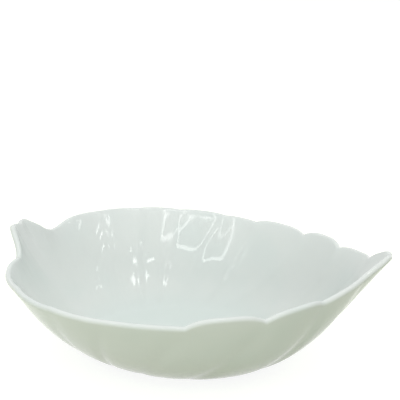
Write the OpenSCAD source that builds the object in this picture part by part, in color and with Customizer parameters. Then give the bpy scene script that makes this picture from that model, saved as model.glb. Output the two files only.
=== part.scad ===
// Leaf-shaped serving bowl of glazed ceramic. The rim is scalloped like a leaf's edge, drawn out to a
// point at one end and to a short, blunt stem at the other. The wall is softly fluted below the notches
// and comes down to an oval floor, which stands on a bare ring.
// +X points from the stem to the tip and +Z up. The origin is on the table, under the bowl's middle.

/* [Leaf] */
// Length of the leaf, from the stem's end to the tip
leaf_length = 244; // [180:1:320]
// Width of the leaf
leaf_width = 190; // [150:1:250]
// Height of the rim at the sides
side_height = 60; // [45:1:90]
// How much higher the rim stands at the stem's end
stem_rise = 13; // [0:1:25]
// How much higher the rim stands at the tip
tip_rise = 14; // [0:1:25]

/* [Scallops and flutes] */
// How far a full scallop bulges out between its two notches
scallop_bulge = 2.5; // [0:0.1:4]
// How far a full scallop arches up between its two notches
scallop_arch = 5; // [0:0.1:8]
// How far the wall below a scallop bows out between the creases that run down from its notches
flute_depth = 1.6; // [0:0.1:2]
// How far a flute leans towards the stem on its way down from the rim, in scallops
flute_lean = 1.15; // [0:0.05:2]

/* [Wall and floor] */
// Thickness of the wall at the rim
wall = 3.6; // [3:0.1:5]
// Thickness of the wall at its heel, where it leaves the floor
heel_thickness = 5; // [3.5:0.1:7]
// Thickness of the floor at its middle
floor_thickness = 4; // [3:0.1:6]
// Length of the floor, where the wall begins
floor_length = 118; // [95:1:145]
// Width of the floor, where the wall begins
floor_width = 88; // [70:1:105]

/* [Standing ring] */
// Height of the ring below the floor
ring_height = 3; // [2:0.1:6]
// Thickness of the ring
ring_wall = 4; // [3:0.1:7]
// Distance from the floor's ends in to the ring
ring_inset_end = 8; // [2:0.5:15]
// Distance from the floor's sides in to the ring
ring_inset_side = 4.5; // [2:0.5:12]

/* [Hidden] */

// The rim's turning points, anticlockwise from the near corner of the stem. Each has its place as a
// share of half the length and half the width, and its height above the sides as a share of the
// stem's rise on the stem's half and of the tip's rise on the other.
notch_shares = [
    [-0.985, -0.075, 1.06],
    [-0.875, -0.285, 0.06],
    [-0.85, -0.46, 0.02],
    [-0.69, -0.73, 0.045],
    [-0.43, -0.945, 0.085],
    [-0.17, -1.01, 0.04],
    [0.195, -0.95, -0.03],
    [0.51, -0.735, -0.07],
    [0.73, -0.47, 0.115],
    [0.89, -0.21, 0.55],
    [1.004, 0.01, 1.07],
    [0.912, 0.17, 0.45],
    [0.742, 0.435, 0.18],
    [0.525, 0.69, 0.03],
    [0.22, 0.88, 0.05],
    [0.02, 0.945, 0.11],
    [-0.275, 0.955, 0.21],
    [-0.52, 0.86, 0.33],
    [-0.71, 0.69, 0.41],
    [-0.845, 0.465, 0.39],
    [-0.893, 0.305, 0.12],
    [-0.915, 0.19, 0.43],
    [-1, 0.09, 0.995],
    [-0.985, 0.01, 0.975],
];

// The scallop that follows each turning point: its share of the full bulge, of the full arch and, for
// the wall below it, of the full flute
scallop_shares = [
    [-0.1, 0.75, 0],
    [-0.05, 0.35, 0],
    [0.1, -0.15, 0.1],
    [0.1, -0.15, 0.7],
    [0.2, 0, 0.8],
    [0.3, 0.15, 0.8],
    [0.6, 1, 1],
    [1, 0.8, 1],
    [0.6, 0.2, 1],
    [0.3, 0.3, 0.5],
    [0.3, 0.5, 0.5],
    [1, 0.35, 0.6],
    [1, 0.75, 1],
    [0.9, 0.5, 1],
    [0.4, 0.05, 0.55],
    [0.5, 0.1, 0.85],
    [0.5, 0.05, 1.3],
    [0.25, 0, 0.4],
    [0.05, 0, 0.1],
    [0.25, -0.05, 0],
    [-0.05, -0.15, 0],
    [-0.15, 0.35, 0],
    [0.15, 0.05, 0],
    [0.15, 0.15, 0],
];

// The plain oval that the wall opens towards before the leaf's edge is drawn out of it, as shares of
// the leaf's length, width and side height
oval_shares = [0.965, 1.02, 1.005];
// The middle of the floor and of the oval, as shares of half the length and half the width
middle_shares = [-0.035, -0.04];
// How steep the wall starts, as a share of its mean slope, before it curves up to the rim
first_slope_share = 0.52;
// How fast the leaf's edge fades down the wall, as a power of the height
edge_fade = 2.1;
// Below the rim, the edge is averaged over its neighbours within this angle, in degrees, and the
// averaged edge gives way to the true one as this power of the height
edge_reach = 24;
edge_focus = 5;
// How broad a flute's flat middle is, as a power, and how round the creases between flutes are
flute_breadth = 3.2;
crease_round = 0.21;
// How far the wall's outer edge ends below the top of the rounded lip, as a share of the wall
lip_share = 0.75;

// Steps along each scallop, up the wall, over the lip and across the floor
scallop_steps = 5;
wall_steps = 10;
lip_steps = 6;
floor_steps = 3;
ring_sides = 96;

half_leaf = [leaf_length / 2, leaf_width / 2];
half_floor = [floor_length / 2, floor_width / 2];
half_oval = [half_leaf.x * oval_shares.x, half_leaf.y * oval_shares.y];
oval_height = side_height * oval_shares.z;
middle = [half_leaf.x * middle_shares.x, half_leaf.y * middle_shares.y];
half_ring = [half_floor.x - ring_inset_end, half_floor.y - ring_inset_side];

notches = len(notch_shares);
columns = notches * scallop_steps;
function unit(v) = v / norm(v);
function wrap(i, count) = (i + count) % count;
function mix_of(a, b, share) = a + (b - a) * share;

// A turning point of the rim in millimetres
function notch_point(share) = [
    half_leaf.x * share.x,
    half_leaf.y * share.y,
    side_height + share.z * (share.x < 0 ? stem_rise : tip_rise)
];
notch_points = [for (share = notch_shares) notch_point(share)];

// The rim's direction at each turning point, led by the nearer neighbour
function direction_at(i) =
    let (back = notch_points[i] - notch_points[wrap(i - 1, notches)])
    let (on = notch_points[wrap(i + 1, notches)] - notch_points[i])
    (unit(back) * norm(on) + unit(on) * norm(back)) / (norm(back) + norm(on));
notch_directions = [for (i = [0 : notches - 1]) direction_at(i)];

// A smooth curve from a to b that leaves along ta and arrives along tb
function curve_point(a, ta, b, tb, s) =
    (2 * pow(s, 3) - 3 * pow(s, 2) + 1) * a + (pow(s, 3) - 2 * pow(s, 2) + s) * ta
    + (3 * pow(s, 2) - 2 * pow(s, 3)) * b + (pow(s, 3) - pow(s, 2)) * tb;
function curve_slope(a, ta, b, tb, s) =
    (6 * pow(s, 2) - 6 * s) * (a - b) + (3 * pow(s, 2) - 4 * s + 1) * ta + (3 * pow(s, 2) - 2 * s) * tb;

// Humps that are nothing at 0 and at 1 and whole halfway: a plain one, one with steep shoulders and a
// flat top, and one of a row of flutes, which have flat tops and meet in rounded creases
function hump(s) = 4 * s * (1 - s);
function broad_hump(s) = 1 - pow(abs(2 * s - 1), 3);
function rounded(height) = norm([height, crease_round]) - crease_round;
function soft_hump(s) = 1 - pow(1 - rounded(sin(180 * s)) / rounded(1), flute_breadth);

// The rim at a share s of the way along scallop i, as two vectors: the point on the smooth curve, with
// the scallop's bulge and arch, and the level way out of the curve
function rim_station(i, s) =
    let (a = notch_points[i])
    let (b = notch_points[wrap(i + 1, notches)])
    let (ta = notch_directions[i] * norm(b - a))
    let (tb = notch_directions[wrap(i + 1, notches)] * norm(b - a))
    let (slope = curve_slope(a, ta, b, tb, s))
    let (outward = unit([slope.y, -slope.x, 0]))
    let (bulge = outward * scallop_bulge * scallop_shares[i].x)
    let (arch = [0, 0, scallop_arch * scallop_shares[i].y])
    [curve_point(a, ta, b, tb, s) + (bulge + arch) * broad_hump(s), outward];
stations = [
    for (i = [0 : notches - 1]) for (k = [0 : scallop_steps - 1])
    rim_station(i, k / scallop_steps)
];
rim = [for (station = stations) station[0]];
ways_out = [for (station = stations) station[1]];

// The origin's place under the middle of the rim
rim_xs = [for (p = rim) p.x];
rim_ys = [for (p = rim) p.y];
plan_middle = [(min(rim_xs) + max(rim_xs)) / 2, (min(rim_ys) + max(rim_ys)) / 2, 0];

// The angle round the oval at which each column of the wall stands
angles = [for (p = rim) atan2((p.y - middle.y) / half_oval.y, (p.x - middle.x) / half_oval.x)];
function oval_point(half, angle, z) = [middle.x + half.x * cos(angle), middle.y + half.y * sin(angle), z];
tops = [for (angle = angles) oval_point(half_oval, angle, oval_height)];

// How far the leaf's edge stands from the oval, at each column and averaged over its neighbours, of
// which the near ones count most
edges = [for (i = [0 : columns - 1]) rim[i] - tops[i]];
function turn_between(a, b) = a - b - 360 * round((a - b) / 360);
function spread(i) = turn_between(angles[wrap(i + 1, columns)], angles[wrap(i - 1, columns)]);
spreads = [for (i = [0 : columns - 1]) spread(i)];
function nearness(turn) = abs(turn) < edge_reach ? 1 + cos(180 * turn / edge_reach) : 0;
function soft_edge(i) =
    let (weights = [for (j = [0 : columns - 1]) spreads[j] * nearness(turn_between(angles[i], angles[j]))])
    weights * edges / (weights * [for (weight = weights) 1]);
soft_edges = [for (i = [0 : columns - 1]) soft_edge(i)];

// How far the wall bows out below a place on the rim that is counted in scallops
function flute(place) = scallop_shares[wrap(floor(place), notches)].z * soft_hump(place);

// The outer face of the wall at a share w of the way up column i, where the flutes lean
function outer_point(i, w) =
    let (foot = oval_point(half_floor, angles[i], ring_height))
    let (climb = first_slope_share * w + (1 - first_slope_share) * pow(w, 2))
    let (rise = tops[i] - [0, 0, lip_share * wall] - foot)
    let (edge = mix_of(soft_edges[i], edges[i], pow(w, edge_focus)))
    let (lean = flute_lean * sin(angles[i]) * abs(sin(angles[i])))
    let (bow = flute_depth * flute(i / scallop_steps - lean * (1 - w)) * hump(w))
    foot + [rise.x * w, rise.y * w, rise.z * climb] + edge * pow(w, edge_fade) + ways_out[i] * bow;
outer = [for (j = [0 : wall_steps]) [for (i = [0 : columns - 1]) outer_point(i, j / wall_steps)]];

// The way up the wall and the way out of it, from the neighbouring points
function upward_at(j, i) = unit(outer[min(j + 1, wall_steps)][i] - outer[max(j - 1, 0)][i]);
function along_at(j, i) = outer[j][wrap(i + 1, columns)] - outer[j][wrap(i - 1, columns)];
function outward_at(j, i) = unit(cross(along_at(j, i), upward_at(j, i)));

// The inner face of the wall, which thickens towards its heel
function thickness_at(j) = mix_of(wall, heel_thickness, pow(1 - j / wall_steps, 2));
function inner_point(j, i) = outer[j][i] - outward_at(j, i) * thickness_at(j);
inner = [for (j = [0 : wall_steps]) [for (i = [0 : columns - 1]) inner_point(j, i)]];

// The lip, which turns half a circle from the outer face over to the inner face
function lip_point(i, turn) =
    let (out = outward_at(wall_steps, i))
    let (up = upward_at(wall_steps, i))
    outer[wall_steps][i] + (out * (cos(turn) - 1) + up * sin(turn)) * wall / 2;
lip = [for (k = [1 : lip_steps - 1]) [for (i = [0 : columns - 1]) lip_point(i, 180 * k / lip_steps)]];

// The floor's faces, drawn in from the wall's first points to the middle
under_middle = [middle.x, middle.y, ring_height];
floor_middle = [middle.x, middle.y, ring_height + floor_thickness];
function drawn_in(edge, centre) = [
    for (k = [1 : floor_steps - 1]) [for (p = edge) mix_of(p, centre, k / floor_steps)]
];
function turned_round(list) = [for (k = [1 : len(list)]) list[len(list) - k]];

// Every ring of points, from the middle of the underside out, up, over the lip and down to the floor
rings = concat(
    turned_round(drawn_in(outer[0], under_middle)),
    outer,
    lip,
    turned_round(inner),
    drawn_in(inner[0], floor_middle)
);
bowl_points = concat([for (ring = rings) each ring], [under_middle, floor_middle]);
under_middle_id = len(rings) * columns;
floor_middle_id = under_middle_id + 1;
function id_of(r, i) = r * columns + wrap(i, columns);
bowl_faces = concat(
    [for (i = [0 : columns - 1]) [under_middle_id, id_of(0, i), id_of(0, i + 1)]],
    [
        for (r = [0 : len(rings) - 2]) for (i = [0 : columns - 1])
        each [
            [id_of(r, i), id_of(r + 1, i), id_of(r + 1, i + 1)],
            [id_of(r, i), id_of(r + 1, i + 1), id_of(r, i + 1)]
        ]
    ],
    [for (i = [0 : columns - 1]) [floor_middle_id, id_of(len(rings) - 1, i + 1), id_of(len(rings) - 1, i)]]
);

// The glazed bowl
module leaf_bowl() {
    color("honeydew")
        translate(-plan_middle)
            polyhedron(points = bowl_points, faces = bowl_faces);
}

// An upright oval disc with the given half length and half width
module oval_disc(half, height) {
    turns = [for (k = [0 : ring_sides - 1]) 360 * k / ring_sides];
    linear_extrude(height)
        polygon([for (turn = turns) [half.x * cos(turn), half.y * sin(turn)]]);
}

// The bare ring that the bowl stands on, face to face with the floor's underside
module foot_ring() {
    color("linen")
        translate([middle.x, middle.y, 0] - plan_middle)
            difference() {
                oval_disc(half_ring, ring_height);
                translate([0, 0, -ring_height])
                    oval_disc(half_ring - [ring_wall, ring_wall], 3 * ring_height);
            }
}

leaf_bowl();
foot_ring();
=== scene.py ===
"""Looks for a deep, leaf-shaped serving bowl of glossy white porcelain on a bare standing ring.

Everything is in metres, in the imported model's frame: +X from the stem to the tip, +Z up, and the
origin on the table under the bowl's middle.
"""
import math

import bpy
import numpy as np
from mathutils import Matrix, Vector


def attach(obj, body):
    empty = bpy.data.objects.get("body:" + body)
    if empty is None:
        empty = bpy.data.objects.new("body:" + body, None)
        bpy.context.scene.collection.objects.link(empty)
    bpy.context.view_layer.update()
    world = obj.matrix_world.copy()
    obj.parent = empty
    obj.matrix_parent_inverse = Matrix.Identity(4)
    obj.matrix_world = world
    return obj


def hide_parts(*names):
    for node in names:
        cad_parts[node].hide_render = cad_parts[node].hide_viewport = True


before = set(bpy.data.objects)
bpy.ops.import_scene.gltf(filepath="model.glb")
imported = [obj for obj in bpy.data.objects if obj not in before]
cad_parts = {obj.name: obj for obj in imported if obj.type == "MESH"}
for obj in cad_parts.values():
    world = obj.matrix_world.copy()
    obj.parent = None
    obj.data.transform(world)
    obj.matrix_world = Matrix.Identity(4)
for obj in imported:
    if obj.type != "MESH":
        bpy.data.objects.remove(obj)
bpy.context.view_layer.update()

MM = 0.001

# The bowl's sizes, in millimetres, as in the part's source
LEAF_LENGTH = 244
LEAF_WIDTH = 190
SIDE_HEIGHT = 60
STEM_RISE = 13
TIP_RISE = 14
SCALLOP_BULGE = 2.5
SCALLOP_ARCH = 5
FLUTE_DEPTH = 1.6
FLUTE_LEAN = 1.15
WALL = 3.6
HEEL_THICKNESS = 5
FLOOR_THICKNESS = 4
FLOOR_LENGTH = 118
FLOOR_WIDTH = 88
RING_HEIGHT = 3
RING_WALL = 4
RING_INSET_END = 8
RING_INSET_SIDE = 4.5

# The rim's turning points, anticlockwise from the near corner of the stem. Each has its place as shares
# of half the length and half the width, and its rise as a share of the stem's or of the tip's.
NOTCH_SHARES = [
    (-0.985, -0.075, 1.06),
    (-0.875, -0.285, 0.06),
    (-0.85, -0.46, 0.02),
    (-0.69, -0.73, 0.045),
    (-0.43, -0.945, 0.085),
    (-0.17, -1.01, 0.04),
    (0.195, -0.95, -0.03),
    (0.51, -0.735, -0.07),
    (0.73, -0.47, 0.115),
    (0.89, -0.21, 0.55),
    (1.004, 0.01, 1.07),
    (0.912, 0.17, 0.45),
    (0.742, 0.435, 0.18),
    (0.525, 0.69, 0.03),
    (0.22, 0.88, 0.05),
    (0.02, 0.945, 0.11),
    (-0.275, 0.955, 0.21),
    (-0.52, 0.86, 0.33),
    (-0.71, 0.69, 0.41),
    (-0.845, 0.465, 0.39),
    (-0.893, 0.305, 0.12),
    (-0.915, 0.19, 0.43),
    (-1, 0.09, 0.995),
    (-0.985, 0.01, 0.975),
]
# The scallop after each turning point: its shares of the full bulge, arch and flute
SCALLOP_SHARES = [
    (-0.1, 0.75, 0),
    (-0.05, 0.35, 0),
    (0.1, -0.15, 0.1),
    (0.1, -0.15, 0.7),
    (0.2, 0, 0.8),
    (0.3, 0.15, 0.8),
    (0.6, 1, 1),
    (1, 0.8, 1),
    (0.6, 0.2, 1),
    (0.3, 0.3, 0.5),
    (0.3, 0.5, 0.5),
    (1, 0.35, 0.6),
    (1, 0.75, 1),
    (0.9, 0.5, 1),
    (0.4, 0.05, 0.55),
    (0.5, 0.1, 0.85),
    (0.5, 0.05, 1.3),
    (0.25, 0, 0.4),
    (0.05, 0, 0.1),
    (0.25, -0.05, 0),
    (-0.05, -0.15, 0),
    (-0.15, 0.35, 0),
    (0.15, 0.05, 0),
    (0.15, 0.15, 0),
]
# The plain oval that the wall opens towards before the leaf's edge is drawn out of it, as shares of
# the leaf's length, width and side height
OVAL_SHARES = (0.965, 1.02, 1.005)
# The middle of the floor and of the oval, as shares of half the length and half the width
MIDDLE_SHARES = (-0.035, -0.04)
# How steep the wall starts, as a share of its mean slope
FIRST_SLOPE_SHARE = 0.52
# How fast the leaf's edge fades down the wall, as a power of the height
EDGE_FADE = 2.1
# Below the rim, the edge is averaged over its neighbours within this angle, in degrees, and the
# averaged edge gives way to the true one as this power of the height
EDGE_REACH = 24
EDGE_FOCUS = 5
# How broad a flute's flat middle is, as a power, and how round the creases between flutes are
FLUTE_BREADTH = 3.2
CREASE_ROUND = 0.21
# How far the wall's outer edge ends below the top of the rounded lip, as a share of the wall
LIP_SHARE = 0.75

# Steps along each scallop, up the wall, over the lip, round a corner, across the floor, round the
# ring, and along the cove and the foot of the ring's section
SCALLOP_STEPS = 12
WALL_STEPS = 36
LIP_STEPS = 10
CORNER_STEPS = 6
FLOOR_STEPS = 12
RING_STEPS = 192
COVE_STEPS = 4
FOOT_STEPS = 6
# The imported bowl's own steps along each scallop, which settle where the middle of its rim lies
PACKED_SCALLOP_STEPS = 5
# Rows at the wall's foot that a rounded corner takes the place of
CORNER_ROWS = 3
# Columns on each side that give the way along the wall, and how often the way out is smoothed
COLUMNS_APART = 2
SMOOTHINGS = 20

# Small roundings that the casting and the glaze give, in millimetres
FLOOR_ROUND = 4.5
HEEL_ROUND = 3
RING_ROUND = 1.1
RING_COVE = 0.9

# Shares along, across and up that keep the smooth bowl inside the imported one, whose facets cut its
# corners
FIT_SHARES = (0.9978, 1, 0.999)

half_leaf = np.array([LEAF_LENGTH / 2, LEAF_WIDTH / 2])
half_floor = np.array([FLOOR_LENGTH / 2, FLOOR_WIDTH / 2])
half_oval = half_leaf * OVAL_SHARES[:2]
oval_height = SIDE_HEIGHT * OVAL_SHARES[2]
middle = half_leaf * MIDDLE_SHARES
half_ring = half_floor - (RING_INSET_END, RING_INSET_SIDE)


def unit(v):
    return v / np.linalg.norm(v, axis=-1, keepdims=True)


def mix_of(a, b, share):
    return a + (b - a) * share


def hump(s):
    """Nothing at 0 and at 1, and whole halfway."""
    return 4 * s * (1 - s)


def broad_hump(s):
    """Nothing at 0 and at 1, with steep shoulders and a flat top."""
    return 1 - abs(2 * s - 1)**3


def row_of_humps(s):
    """Flat-topped humps, one to each whole number, that meet in rounded creases."""
    raised = np.sqrt(np.sin(np.pi * s)**2 + CREASE_ROUND**2)
    round_hump = (raised - CREASE_ROUND) / (math.sqrt(1 + CREASE_ROUND**2) - CREASE_ROUND)
    return 1 - (1 - round_hump)**FLUTE_BREADTH


def notch_points():
    """The rim's turning points."""
    return np.array([
        (half_leaf[0] * along, half_leaf[1] * across,
         SIDE_HEIGHT + rise * (STEM_RISE if along < 0 else TIP_RISE))
        for along, across, rise in NOTCH_SHARES
    ])


def curve_point(start, leave, end, arrive, s):
    """A point of the smooth curve that leaves the start and arrives at the end in the given ways."""
    return ((2 * s**3 - 3 * s**2 + 1) * start + (s**3 - 2 * s**2 + s) * leave
            + (3 * s**2 - 2 * s**3) * end + (s**3 - s**2) * arrive)


def curve_slope(start, leave, end, arrive, s):
    """The way that the same curve runs at that point."""
    return ((6 * s**2 - 6 * s) * (start - end) + (3 * s**2 - 4 * s + 1) * leave
            + (3 * s**2 - 2 * s) * arrive)


def rim_curve(steps):
    """The rim's points and, at each, the level way out, steps to a scallop."""
    notches = notch_points()
    on = np.roll(notches, -1, axis=0) - notches
    back = np.roll(on, 1, axis=0)
    on_length = np.linalg.norm(on, axis=1, keepdims=True)
    back_length = np.roll(on_length, 1, axis=0)
    ways = (unit(back) * on_length + unit(on) * back_length) / (on_length + back_length)
    points, ways_out = [], []
    for i, (bulge, arch, _) in enumerate(SCALLOP_SHARES):
        following = (i + 1) % len(notches)
        leave = ways[i] * on_length[i]
        arrive = ways[following] * on_length[i]
        raised = np.array([0, 0, SCALLOP_ARCH * arch])
        for s in np.arange(steps) / steps:
            point = curve_point(notches[i], leave, notches[following], arrive, s)
            slope = curve_slope(notches[i], leave, notches[following], arrive, s)
            outward = unit(np.array([slope[1], -slope[0], 0]))
            points.append(point + (outward * SCALLOP_BULGE * bulge + raised) * broad_hump(s))
            ways_out.append(outward)
    return np.array(points), np.array(ways_out)


def rim_middle():
    """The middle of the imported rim's plan, which stands over the origin."""
    rim = rim_curve(PACKED_SCALLOP_STEPS)[0][:, :2]
    return np.append((rim.min(axis=0) + rim.max(axis=0)) / 2, 0)


def flute_at(turn):
    """How far the wall bows out, as a share, at places counted in scallops round the rim."""
    full = np.array([flute for _, _, flute in SCALLOP_SHARES])
    return full[np.floor(turn).astype(int) % len(SCALLOP_SHARES)] * row_of_humps(turn)


def turn_between(a, b):
    """The turn from angle b to angle a, the short way round."""
    return (a - b + np.pi) % (2 * np.pi) - np.pi


def spread_round(angle, edge):
    """The edge averaged over its neighbours round the bowl, the near ones most."""
    reach = math.radians(EDGE_REACH)
    apart = turn_between(angle[:, None], angle)
    nearness = np.where(abs(apart) < reach, 1 + np.cos(np.pi * apart / reach), 0)
    weights = nearness * turn_between(np.roll(angle, -1), np.roll(angle, 1))
    return weights @ edge / weights.sum(axis=1, keepdims=True)


def outer_wall(rim, ways_out, shares):
    """The outer face at each share of the way up, as rows of columns."""
    from_middle = (rim[:, :2] - middle) / half_oval
    angle = np.arctan2(from_middle[:, 1], from_middle[:, 0])
    round_plan = np.stack([np.cos(angle), np.sin(angle)], axis=1)
    foot = np.column_stack([middle + half_floor * round_plan, np.full(len(rim), float(RING_HEIGHT))])
    top = np.column_stack([middle + half_oval * round_plan, np.full(len(rim), oval_height)])
    lip_drop = np.array([0, 0, LIP_SHARE * WALL])
    turn = np.arange(len(rim)) * len(SCALLOP_SHARES) / len(rim)
    lean = FLUTE_LEAN * np.sin(angle) * abs(np.sin(angle))
    edge = rim - top
    soft_edge = spread_round(angle, edge)
    rows = []
    for w in shares:
        climb = FIRST_SLOPE_SHARE * w + (1 - FIRST_SLOPE_SHARE) * w**2
        reach = np.array([w, w, climb])
        bow = flute_at(turn - lean * (1 - w)) * FLUTE_DEPTH * hump(w)
        drawn_out = mix_of(soft_edge, edge, w**EDGE_FOCUS) * w**EDGE_FADE
        rows.append(foot + (top - lip_drop - foot) * reach + drawn_out + ways_out * bow[:, None])
    return np.array(rows)


def softened(rows, times):
    """The rows with each point drawn towards its neighbours round the bowl."""
    for _ in range(times):
        rows = rows / 2 + (np.roll(rows, 1, axis=1) + np.roll(rows, -1, axis=1)) / 4
    return rows


def directions_of(outer):
    """The way up and the way out at every point of the outer face."""
    upward = unit(np.gradient(outer, axis=0))
    along = np.roll(outer, -COLUMNS_APART, axis=1) - np.roll(outer, COLUMNS_APART, axis=1)
    return upward, unit(softened(unit(np.cross(along, upward)), SMOOTHINGS))


def rounded_corner(before, corner, after):
    """Rows that turn a corner in a smooth bend, from before to after."""
    shares = np.arange(CORNER_STEPS + 1) / CORNER_STEPS
    return [(1 - s)**2 * before + 2 * s * (1 - s) * corner + s**2 * after for s in shares]


def towards(start, end, distance):
    """The point that lies a distance from each start on the way to its end."""
    return start + unit(end - start) * distance


def lip_rows(edge, way_out, way_up):
    """The half-round lip, from the wall's outer edge over to its inner one."""
    turns = np.pi * np.arange(1, LIP_STEPS) / LIP_STEPS
    return [edge + (way_out * (np.cos(t) - 1) + way_up * np.sin(t)) * WALL / 2 for t in turns]


def floor_row(floor_edge, floor_middle, s):
    """A row of the floor, which flattens from its edge to its middle."""
    row = mix_of(floor_edge, floor_middle, s)
    row[:, 2] = mix_of(floor_middle[2], floor_edge[:, 2], (1 - s)**2)
    return row


def bowl_rows():
    """Every row of the bowl, from the middle of the underside out, up, over the lip and back in."""
    rim, ways_out = rim_curve(SCALLOP_STEPS)
    shares = np.arange(WALL_STEPS + 1) / WALL_STEPS
    outer = outer_wall(rim, ways_out, shares)
    upward, outward = directions_of(outer)
    thickness = mix_of(WALL, HEEL_THICKNESS, (1 - shares)**2)[:, None, None]
    inner = outer - outward * thickness
    lip = lip_rows(outer[-1], outward[-1], upward[-1])

    under_middle = np.array([*middle, RING_HEIGHT])
    floor_middle = np.array([*middle, RING_HEIGHT + FLOOR_THICKNESS])
    under_edge = towards(outer[0], under_middle, HEEL_ROUND)
    floor_edge = towards(inner[0], floor_middle, FLOOR_ROUND)
    inward = np.arange(1, FLOOR_STEPS) / FLOOR_STEPS
    under = [mix_of(under_edge, under_middle, s) for s in inward[::-1]]
    floor = [floor_row(floor_edge, floor_middle, s) for s in inward]

    heel = rounded_corner(under_edge, outer[0], outer[CORNER_ROWS])
    cove = rounded_corner(inner[CORNER_ROWS], inner[0], floor_edge)
    outside = list(outer[CORNER_ROWS + 1:])
    inside = list(inner[:CORNER_ROWS:-1])
    rows = under + heel + outside + lip + inside + cove + floor
    return np.array(rows), under_middle, floor_middle


def mesh_piece(name, points, faces):
    """A smooth-shaded piece of the object from points in millimetres."""
    mesh = bpy.data.meshes.new(name)
    mesh.from_pydata((np.asarray(points) * FIT_SHARES * MM).tolist(), [], faces)
    mesh.polygons.foreach_set("use_smooth", [True] * len(mesh.polygons))
    mesh.update()
    piece = bpy.data.objects.new(name, mesh)
    bpy.context.scene.collection.objects.link(piece)
    return piece


def strip(low, high, columns):
    """The quads between two closed rows, given the number of each one's first point."""
    following = [(i + 1) % columns for i in range(columns)]
    return [(low + i, low + j, high + j, high + i) for i, j in enumerate(following)]


def strips(rows, columns):
    """The quads between all neighbouring rows."""
    return [quad for r in range(rows - 1) for quad in strip(r * columns, (r + 1) * columns, columns)]


def glazed_bowl():
    rows, under_middle, floor_middle = bowl_rows()
    count, columns = rows.shape[:2]
    points = np.vstack([rows.reshape(-1, 3), under_middle, floor_middle]) - rim_middle()
    under_id, floor_id = count * columns, count * columns + 1
    last = (count - 1) * columns
    faces = strips(count, columns)
    faces += [(under_id, (i + 1) % columns, i) for i in range(columns)]
    faces += [(floor_id, last + i, last + (i + 1) % columns) for i in range(columns)]
    return mesh_piece("glazed_bowl", points, faces)


def ring_section():
    """The ring's section as insets and heights: a cove under the bowl, a rounded foot and a cove."""
    side = [(-RING_COVE, RING_HEIGHT)]
    for t in np.linspace(0, np.pi / 2, COVE_STEPS + 1)[1:]:
        side.append((-RING_COVE * (1 - np.sin(t)), RING_HEIGHT - RING_COVE * (1 - np.cos(t))))
    for t in np.linspace(0, np.pi / 2, FOOT_STEPS + 1):
        side.append((RING_ROUND * (1 - np.cos(t)), RING_ROUND * (1 - np.sin(t))))
    return side + [(RING_WALL - inset, height) for inset, height in side[::-1]]


def standing_ring():
    turns = 2 * np.pi * np.arange(RING_STEPS) / RING_STEPS
    rows = [
        np.column_stack([middle[0] + (half_ring[0] - inset) * np.cos(turns),
                         middle[1] + (half_ring[1] - inset) * np.sin(turns),
                         np.full(RING_STEPS, height)])
        for inset, height in ring_section()
    ]
    points = np.vstack(rows) - rim_middle()
    faces = [face[::-1] for face in strips(len(rows), RING_STEPS)]
    faces += strip(0, (len(rows) - 1) * RING_STEPS, RING_STEPS)
    return mesh_piece("standing_ring", points, faces)


class Wire:
    """A shader value that can be used in Python sums."""

    def __init__(self, sheet, socket):
        self.sheet, self.socket = sheet, socket

    def _sum(self, operation, first, second):
        return self.sheet.node("ShaderNodeMath", {"operation": operation}, {0: first, 1: second})[0]

    def __add__(self, other):
        return self._sum("ADD", self, other)

    def __sub__(self, other):
        return self._sum("SUBTRACT", self, other)

    def __rsub__(self, other):
        return self._sum("SUBTRACT", other, self)

    def __mul__(self, other):
        return self._sum("MULTIPLY", self, other)

    def __gt__(self, other):
        return self._sum("GREATER_THAN", self, other)

    def __lt__(self, other):
        return self._sum("LESS_THAN", self, other)

    __radd__, __rmul__ = __add__, __mul__


class Sheet:
    """The nodes of one material or world."""

    def __init__(self, tree):
        self.tree = tree
        tree.nodes.clear()

    def node(self, kind, settings=None, values=None):
        """A node with its settings, then its values or links, given back as its outputs' wires."""
        made = self.tree.nodes.new(kind)
        for name, setting in (settings or {}).items():
            setattr(made, name, setting)
        for key, value in (values or {}).items():
            socket = made.inputs[key]
            if isinstance(value, Wire):
                self.tree.links.new(value.socket, socket)
            else:
                socket.default_value = value
        return [Wire(self, out) for out in made.outputs]

    def between(self, low, high, share):
        """A colour between two others."""
        values = {0: share, 6: low, 7: high}
        return self.node("ShaderNodeMix", {"data_type": "RGBA", "blend_type": "MIX"}, values)[2]

    def smooth_step(self, value, start, end):
        """0 before start and 1 past end, with a soft run between them."""
        values = {0: value, 1: start, 2: end, 3: 0.0, 4: 1.0}
        return self.node("ShaderNodeMapRange", {"interpolation_type": "SMOOTHSTEP"}, values)[0]

    def noise(self, place, scale, detail, roughness=0.5):
        values = {"Vector": place, "Scale": scale, "Detail": detail, "Roughness": roughness}
        return self.node("ShaderNodeTexNoise", None, values)[0]

    def parts_of(self, vector):
        """The wires along, across and up of a vector."""
        return self.node("ShaderNodeSeparateXYZ", None, {0: vector})

    def seen(self):
        """1 to the camera, to a reflection and through glass, and 0 to the light on the bowl."""
        paths = self.node("ShaderNodeLightPath")
        camera_ray, glossy_ray, transmission_ray = paths[0], paths[3], paths[6]
        return 1 - (1 - camera_ray) * (1 - glossy_ray) * (1 - transmission_ray)


def colour(red, green, blue):
    """A colour by its eyedropper values, 0 to 255, as the shader's linear numbers."""
    shares = [c / 255 for c in (red, green, blue)]
    return tuple(s / 12.92 if s <= 0.04045 else ((s + 0.055) / 1.055)**2.4 for s in shares) + (1.0,)


GLAZE = colour(224, 230, 226)
GLAZE_POOLED = colour(214, 225, 221)
GLAZE_THIN = colour(231, 235, 233)
# Painted shade: the darker, yellower colour given to the outside low on the wall
HEEL_PAINTED_SHADE = colour(200, 206, 184)
CLAY = colour(214, 208, 194)
CLAY_WORN = colour(188, 182, 170)
SPECK = colour(150, 140, 118)
FLOOR_MATT = colour(169, 177, 147)
FLOOR_GLOW = (0.84, 0.83, 0.87, 1.0)
ROOM_WHITE = (1, 1, 1, 1)

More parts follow.
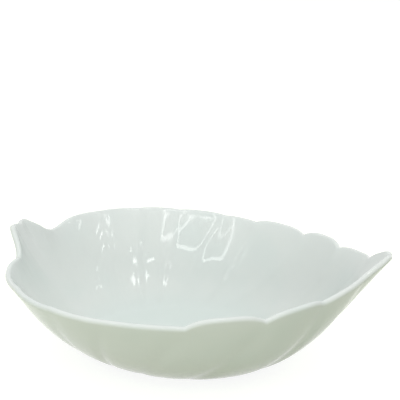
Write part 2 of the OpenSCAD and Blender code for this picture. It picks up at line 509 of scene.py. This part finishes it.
# The mottlings of glaze and clay: how many patches to a metre, how detailed and, where the detail is
# stronger than usual, how strong
CLOUD = (22.0, 3.0)
SMEAR = (55.0, 4.0, 0.6)
RIPPLE = (38.0, 1.0)
PEEL = (520.0, 1.0)
GLAZE_LINE = (140.0, 3.0)
GRAIN = (1500.0, 4.0, 0.7)
STAIN = (70.0, 4.0, 0.6)

# Where the glaze starts and ends to pool at the foot and to thin out at the rim, and where painted shade
# darkens the outside low on the wall, as heights in metres, and how far the clouds push each of them down
POOLED = (0.022, 0.006)
POOLED_WANDER = 0.006
THINNED = (0.052, 0.066)
THINNED_WANDER = 0.004
HEEL = (0.046, 0.012)
HEEL_WANDER = 0.01
# The upward share of a face's way out over which the painted shade on the outside of the wall fades in
OUTSIDE = (0.1, -0.15)
# The values of a mottling over which its patches fade in
PATCHES = (0.45, 0.7)
SMEARS = (0.4, 0.75)
# How strongly each paint shows
POOLED_SHARE = 0.9
THINNED_SHARE = 0.2
PATCH_SHARE = 0.35
# Strength of the painted shade on the outside low on the wall
HEEL_SHADE_SHARE = 0.5
SPECK_SHARE = 0.5

# How many cells to a metre the net of specks has, the number that a cell has to draw above to hold
# one, and where the dot in it fades out and is whole, as shares of a cell
SPECK_CELLS = 260.0
SPECK_RARITY = 0.985
SPECK_EDGE = (0.11, 0.06)

# Roughness of the plain glaze, and what smears and specks add to it
GLAZE_ROUGHNESS = 0.035
SMEAR_ROUGHNESS = 0.04
SPECK_ROUGHNESS = 0.15
# Relief of the fine peel and of the specks, beside the ripple's
PEEL_RELIEF = 0.02
SPECK_RELIEF = 0.05
# How high in metres the relief stands, how strongly it shows, and how strongly the glaze bends light
GLAZE_LIFT = 0.0008
GLAZE_BUMP = 0.05
GLAZE_IOR = 1.52

# The heights in metres over which the glaze gives way to bare clay, and how far they wander
BARE = (0.0024, 0.0017)
BARE_WANDER = 0.0012
# How strongly wear and grain colour the clay, its roughness and relief, and the glaze's relief above it
STAIN_SHARE = 0.7
GRAIN_SHARE = 0.3
CLAY_ROUGHNESS = 0.62
GRAIN_ROUGHNESS = 0.2
GRAIN_RELIEF = 0.35
RING_GLAZE_RELIEF = 0.4
CLAY_LIFT = 0.0006
CLAY_BUMP = 0.5


def new_sheet(name):
    material = bpy.data.materials.new(name)
    material.use_nodes = True
    return material, Sheet(material.node_tree)


def specks(sheet, place):
    """1 in each small speck and 0 between them."""
    cells = sheet.node("ShaderNodeTexVoronoi", None, {"Vector": place, "Scale": SPECK_CELLS})
    chosen = sheet.node("ShaderNodeSeparateColor", None, {0: cells[1]})[0] > SPECK_RARITY
    return sheet.smooth_step(cells[0], *SPECK_EDGE) * chosen


def glaze_paint(sheet, place, height, faces_up):
    """The glaze's colour: greener where it pools, whiter where it thins, and painted shade, darker and
    yellower, low on the outside.
    """
    cloud = sheet.noise(place, *CLOUD)
    pooled = sheet.smooth_step(height + cloud * POOLED_WANDER, *POOLED)
    thinned = sheet.smooth_step(height + cloud * THINNED_WANDER, *THINNED)
    # Painted shade: low on the wall, where the faces turn down, the outside is darkened and yellowed
    heel = sheet.smooth_step(height + cloud * HEEL_WANDER, *HEEL) * sheet.smooth_step(faces_up, *OUTSIDE)
    paint = sheet.between(GLAZE, GLAZE_POOLED, pooled * POOLED_SHARE)
    paint = sheet.between(paint, GLAZE_THIN, thinned * THINNED_SHARE)
    paint = sheet.between(paint, GLAZE_POOLED, sheet.smooth_step(cloud, *PATCHES) * PATCH_SHARE)
    return sheet.between(paint, HEEL_PAINTED_SHADE, heel * HEEL_SHADE_SHARE)


def glaze_parts(sheet):
    """The place and the height on the bowl, and the glaze's colour, roughness and relief there."""
    _, normal, _, place = sheet.node("ShaderNodeTexCoord")[:4]
    height = sheet.parts_of(place)[2]
    speck = specks(sheet, place)
    paint = glaze_paint(sheet, place, height, sheet.parts_of(normal)[2])
    paint = sheet.between(paint, SPECK, speck * SPECK_SHARE)
    smeared = sheet.smooth_step(sheet.noise(place, *SMEAR), *SMEARS)
    dullness = smeared * SMEAR_ROUGHNESS + speck * SPECK_ROUGHNESS + GLAZE_ROUGHNESS
    ripple = sheet.noise(place, *RIPPLE)
    peel = sheet.noise(place, *PEEL)
    relief = ripple + peel * PEEL_RELIEF - speck * SPECK_RELIEF
    return place, height, paint, dullness, relief


def shader_output(sheet, paint, dullness, relief, lift, strength):
    values = {"Strength": strength, "Distance": lift, "Height": relief}
    bump = sheet.node("ShaderNodeBump", None, values)[0]
    values = {"Base Color": paint, "Roughness": dullness, "Normal": bump, "IOR": GLAZE_IOR}
    surface = sheet.node("ShaderNodeBsdfPrincipled", None, values)[0]
    sheet.node("ShaderNodeOutputMaterial", None, {0: surface})


def white_glaze():
    material, sheet = new_sheet("white_glaze")
    _, _, paint, dullness, relief = glaze_parts(sheet)
    shader_output(sheet, paint, dullness, relief, GLAZE_LIFT, GLAZE_BUMP)
    return material


def bare_clay():
    """Unglazed clay where the ring meets the table, under a ragged glaze line."""
    material, sheet = new_sheet("bare_clay")
    place, height, paint, dullness, relief = glaze_parts(sheet)
    wander = sheet.noise(place, *GLAZE_LINE)
    bare = sheet.smooth_step(height + wander * BARE_WANDER, *BARE)
    grain = sheet.noise(place, *GRAIN)
    stained = sheet.smooth_step(sheet.noise(place, *STAIN), *PATCHES)
    clay = sheet.between(CLAY, CLAY_WORN, stained * STAIN_SHARE + grain * GRAIN_SHARE)
    clay_dullness = grain * GRAIN_ROUGHNESS + CLAY_ROUGHNESS
    paint = sheet.between(paint, clay, bare)
    dullness = dullness * (1 - bare) + clay_dullness * bare
    relief = relief * RING_GLAZE_RELIEF * (1 - bare) + grain * GRAIN_RELIEF * bare
    shader_output(sheet, paint, dullness, relief, CLAY_LIFT, CLAY_BUMP)
    return material


# Half the floor's side and the distances over which it turns whiter, in metres, and how much whiter
FLOOR_REACH = 8.0
FLOOR_WHITENS = (0.2, 0.8)
FAR_GLOW = 0.6

# The room's light: its plain level, what the ceiling adds, and what the right and the left lose
ROOM_LIGHT = 0.4
CEILING_LIGHT = 0.45
RIGHT_DIMMING = 0.4
LEFT_DIMMING = 0.35
# Where each of these fades in, as shares of the way up or along. The right is dimmed only low down.
CEILING = (-0.1, 1.0)
LOW = (0.35, 0.0)
RIGHT = (0.2, 1.0)
LEFT = (-0.1, -0.9)


def studio_floor():
    """A pale, matt floor that looks white away from the bowl and keeps the bowl's shadow."""
    mesh = bpy.data.meshes.new("studio_floor")
    ends = [(-1, -1), (1, -1), (1, 1), (-1, 1)]
    mesh.from_pydata([(x * FLOOR_REACH, y * FLOOR_REACH, 0) for x, y in ends], [], [(0, 1, 2, 3)])
    floor = bpy.data.objects.new("studio_floor", mesh)
    bpy.context.scene.collection.objects.link(floor)
    material, sheet = new_sheet("studio_floor")
    place = sheet.node("ShaderNodeTexCoord")[3]
    away = sheet.node("ShaderNodeVectorMath", {"operation": "LENGTH"}, {0: place})[1]
    strength = sheet.seen() * (sheet.smooth_step(away, *FLOOR_WHITENS) * FAR_GLOW + 1)
    matt = sheet.node("ShaderNodeBsdfDiffuse", None, {0: FLOOR_MATT})[0]
    glow = sheet.node("ShaderNodeEmission", None, {0: FLOOR_GLOW, 1: strength})[0]
    both = sheet.node("ShaderNodeAddShader", None, {0: matt, 1: glow})[0]
    sheet.node("ShaderNodeOutputMaterial", None, {0: both})
    mesh.materials.append(material)


def studio_world():
    """White to the eye, and to the light a room that is brightest overhead and dimmer at both ends."""
    world = bpy.data.worlds.new("studio")
    bpy.context.scene.world = world
    world.use_nodes = True
    sheet = Sheet(world.node_tree)
    seen = sheet.seen()
    along, _, height = sheet.parts_of(sheet.node("ShaderNodeTexCoord")[0])
    ceiling = sheet.smooth_step(height, *CEILING)
    dim_right = sheet.smooth_step(along, *RIGHT) * sheet.smooth_step(height, *LOW)
    dim_left = sheet.smooth_step(along, *LEFT)
    light = ceiling * CEILING_LIGHT + ROOM_LIGHT - dim_right * RIGHT_DIMMING - dim_left * LEFT_DIMMING
    room = sheet.node("ShaderNodeBackground", None, {0: ROOM_WHITE, 1: seen + (1 - seen) * light})[0]
    sheet.node("ShaderNodeOutputWorld", None, {0: room})


def direction(azimuth, elevation):
    """The way to a place so many degrees round from the bowl's near side and so many degrees up."""
    a, e = math.radians(azimuth), math.radians(elevation)
    return Vector((math.sin(a) * math.cos(e), -math.cos(a) * math.cos(e), math.sin(e)))


def turn_of(right, up, back):
    """The turn that gives a lamp or a camera these three ways."""
    return Matrix((right, up, back)).transposed().to_4x4()


def facing(way):
    """The turn that makes a lamp shine along way with its width level."""
    back = -way.normalized()
    right = Vector((0, 0, 1)).cross(back).normalized()
    return turn_of(right, back.cross(right), back)


def lamp(name, place, target, size, brightness):
    """A flat lamp whose face is brightness times as bright as white."""
    data = bpy.data.lights.new(name, "AREA")
    data.shape, (data.size, data.size_y) = "RECTANGLE", size
    data.energy = brightness * math.pi * size[0] * size[1]
    light = bpy.data.objects.new(name, data)
    light.matrix_world = Matrix.Translation(place) @ facing(Vector(target) - Vector(place))
    bpy.context.scene.collection.objects.link(light)
    return light


def strip_lamp(name, start, end, width, target, brightness):
    """A long lamp between two places, turned to shine on the target."""
    halfway = (start + end) / 2
    along = (end - start).normalized()
    shine = target - halfway
    back = -(shine - along * shine.dot(along)).normalized()
    light = lamp(name, halfway, target, ((end - start).length, width), brightness)
    light.matrix_world = Matrix.Translation(halfway) @ turn_of(along, back.cross(along), back)


# The window's frame as azimuths and elevations seen from the far wall that it is reflected in, and
# the widths of its strips of light in metres
WINDOW_TARGET = Vector((-0.02, 0.083, 0.05))
WINDOW_DISTANCE = 1.5
WINDOW_BRIGHTNESS = 3.9
LEFT_LOW = (11, 46.9)
MIDDLE_LOW = (-12, 43.4)
RIGHT_LOW = (-35, 34.6)
RIGHT_HIGH = (-34, 50.5)
LEFT_HIGH = (12, 53)
SILL_WIDTH = 0.025
HEAD_WIDTH = 0.05
LEFT_WIDTH = 0.07
RIGHT_WIDTH = 0.05

# The ceiling's lamps as azimuths and elevations, seen from the flutes by the stem a metre away
CEILING_TARGET = Vector((-0.08, 0.045, 0.045))
SMALL_LAMPS = [(92.5, 34), (79, 41.5), (77, 44), (78.5, 47), (52, 56), (95.5, 49), (106, 50.3), (115, 51.5)]
WIDE_LAMP = (40.5, 62)
BIG_LAMP = (64, 69.5)

# The soft lamps' places, and what two of them shine on
BOWL_MIDDLE = (0, 0, 0.03)
SOFT_DISTANCE = 1.3
KEY_LAMP = (-50, 50)
FRONT_LAMP = (-6, 8)
OVERHEAD_PLACE = (0.0, 0.1, 1.4)


def window_lamps():
    """The edges of a wide window in front, with a bent sill, which show in the far wall of the bowl."""
    left_low, middle_low, right_low, right_high, left_high = [
        WINDOW_TARGET + direction(azimuth, elevation) * WINDOW_DISTANCE
        for azimuth, elevation in (LEFT_LOW, MIDDLE_LOW, RIGHT_LOW, RIGHT_HIGH, LEFT_HIGH)
    ]
    strips_of_light = [
        ("window_sill_left", left_low, middle_low, SILL_WIDTH),
        ("window_sill_right", middle_low, right_low, SILL_WIDTH),
        ("window_head", left_high, right_high, HEAD_WIDTH),
        ("window_left", left_low, left_high, LEFT_WIDTH),
        ("window_right", right_low, right_high, RIGHT_WIDTH),
    ]
    for name, start, end, width in strips_of_light:
        strip_lamp(name, start, end, width, WINDOW_TARGET, WINDOW_BRIGHTNESS)


def ceiling_lamp(name, azimuth, elevation, size, brightness):
    lamp(name, CEILING_TARGET + direction(azimuth, elevation), CEILING_TARGET, size, brightness)


def ceiling_lamps():
    """Small lamps up on the right, which show as glints in the flutes by the stem."""
    for number, (azimuth, elevation) in enumerate(SMALL_LAMPS):
        ceiling_lamp(f"ceiling_{number}", azimuth, elevation, size=(0.06, 0.011), brightness=6.0)
    ceiling_lamp("ceiling_wide", *WIDE_LAMP, size=(0.1, 0.03), brightness=7.0)
    ceiling_lamp("ceiling_big", *BIG_LAMP, size=(0.15, 0.11), brightness=6.0)


def soft_lamps():
    """Large lamps that light the bowl and don't show in its glaze."""
    key_place = direction(*KEY_LAMP) * SOFT_DISTANCE
    front_place = direction(*FRONT_LAMP) * SOFT_DISTANCE
    for light in (
        lamp("key", key_place, BOWL_MIDDLE, size=(1.0, 1.0), brightness=0.25),
        lamp("front", front_place, BOWL_MIDDLE, size=(1.0, 0.3), brightness=4.8),
        lamp("overhead", OVERHEAD_PLACE, (0, 0, 0), size=(1.2, 1.2), brightness=0.92),
    ):
        light.visible_glossy = False


# The camera of the photograph's side view: its lens and sensor in millimetres, its place round the
# bowl, and the way that it looks back along, which has the bowl in the lower half of the picture
LENS = 64.95
SENSOR_WIDTH = 36
CLIP_START = 0.02
CLIP_END = 50
CAMERA_TARGET = Vector((0, 0, 0.0375))
CAMERA_AZIMUTH = 16.333
CAMERA_ELEVATION = 24.24
CAMERA_DISTANCE = 0.46319
VIEW_AZIMUTH = 15.384
VIEW_ELEVATION = 16.885


def camera():
    data = bpy.data.cameras.new("camera")
    data.lens = LENS
    data.sensor_width = SENSOR_WIDTH
    data.clip_start, data.clip_end = CLIP_START, CLIP_END
    eye = bpy.data.objects.new("camera", data)
    place = CAMERA_TARGET + direction(CAMERA_AZIMUTH, CAMERA_ELEVATION) * CAMERA_DISTANCE
    back = direction(VIEW_AZIMUTH, VIEW_ELEVATION)
    turn = math.radians(VIEW_AZIMUTH)
    right = Vector((math.cos(turn), math.sin(turn), 0))
    eye.matrix_world = Matrix.Translation(place) @ turn_of(right, back.cross(right), back)
    bpy.context.scene.collection.objects.link(eye)
    bpy.context.scene.camera = eye


camera()
bowl = glazed_bowl()
bowl.data.materials.append(white_glaze())
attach(bowl, "root")
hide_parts("leaf_bowl")

ring = standing_ring()
ring.data.materials.append(bare_clay())
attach(ring, "root")
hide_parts("foot_ring")

studio_floor()
studio_world()
soft_lamps()
window_lamps()
ceiling_lamps()
bpy.context.scene.view_settings.view_transform = "Standard"
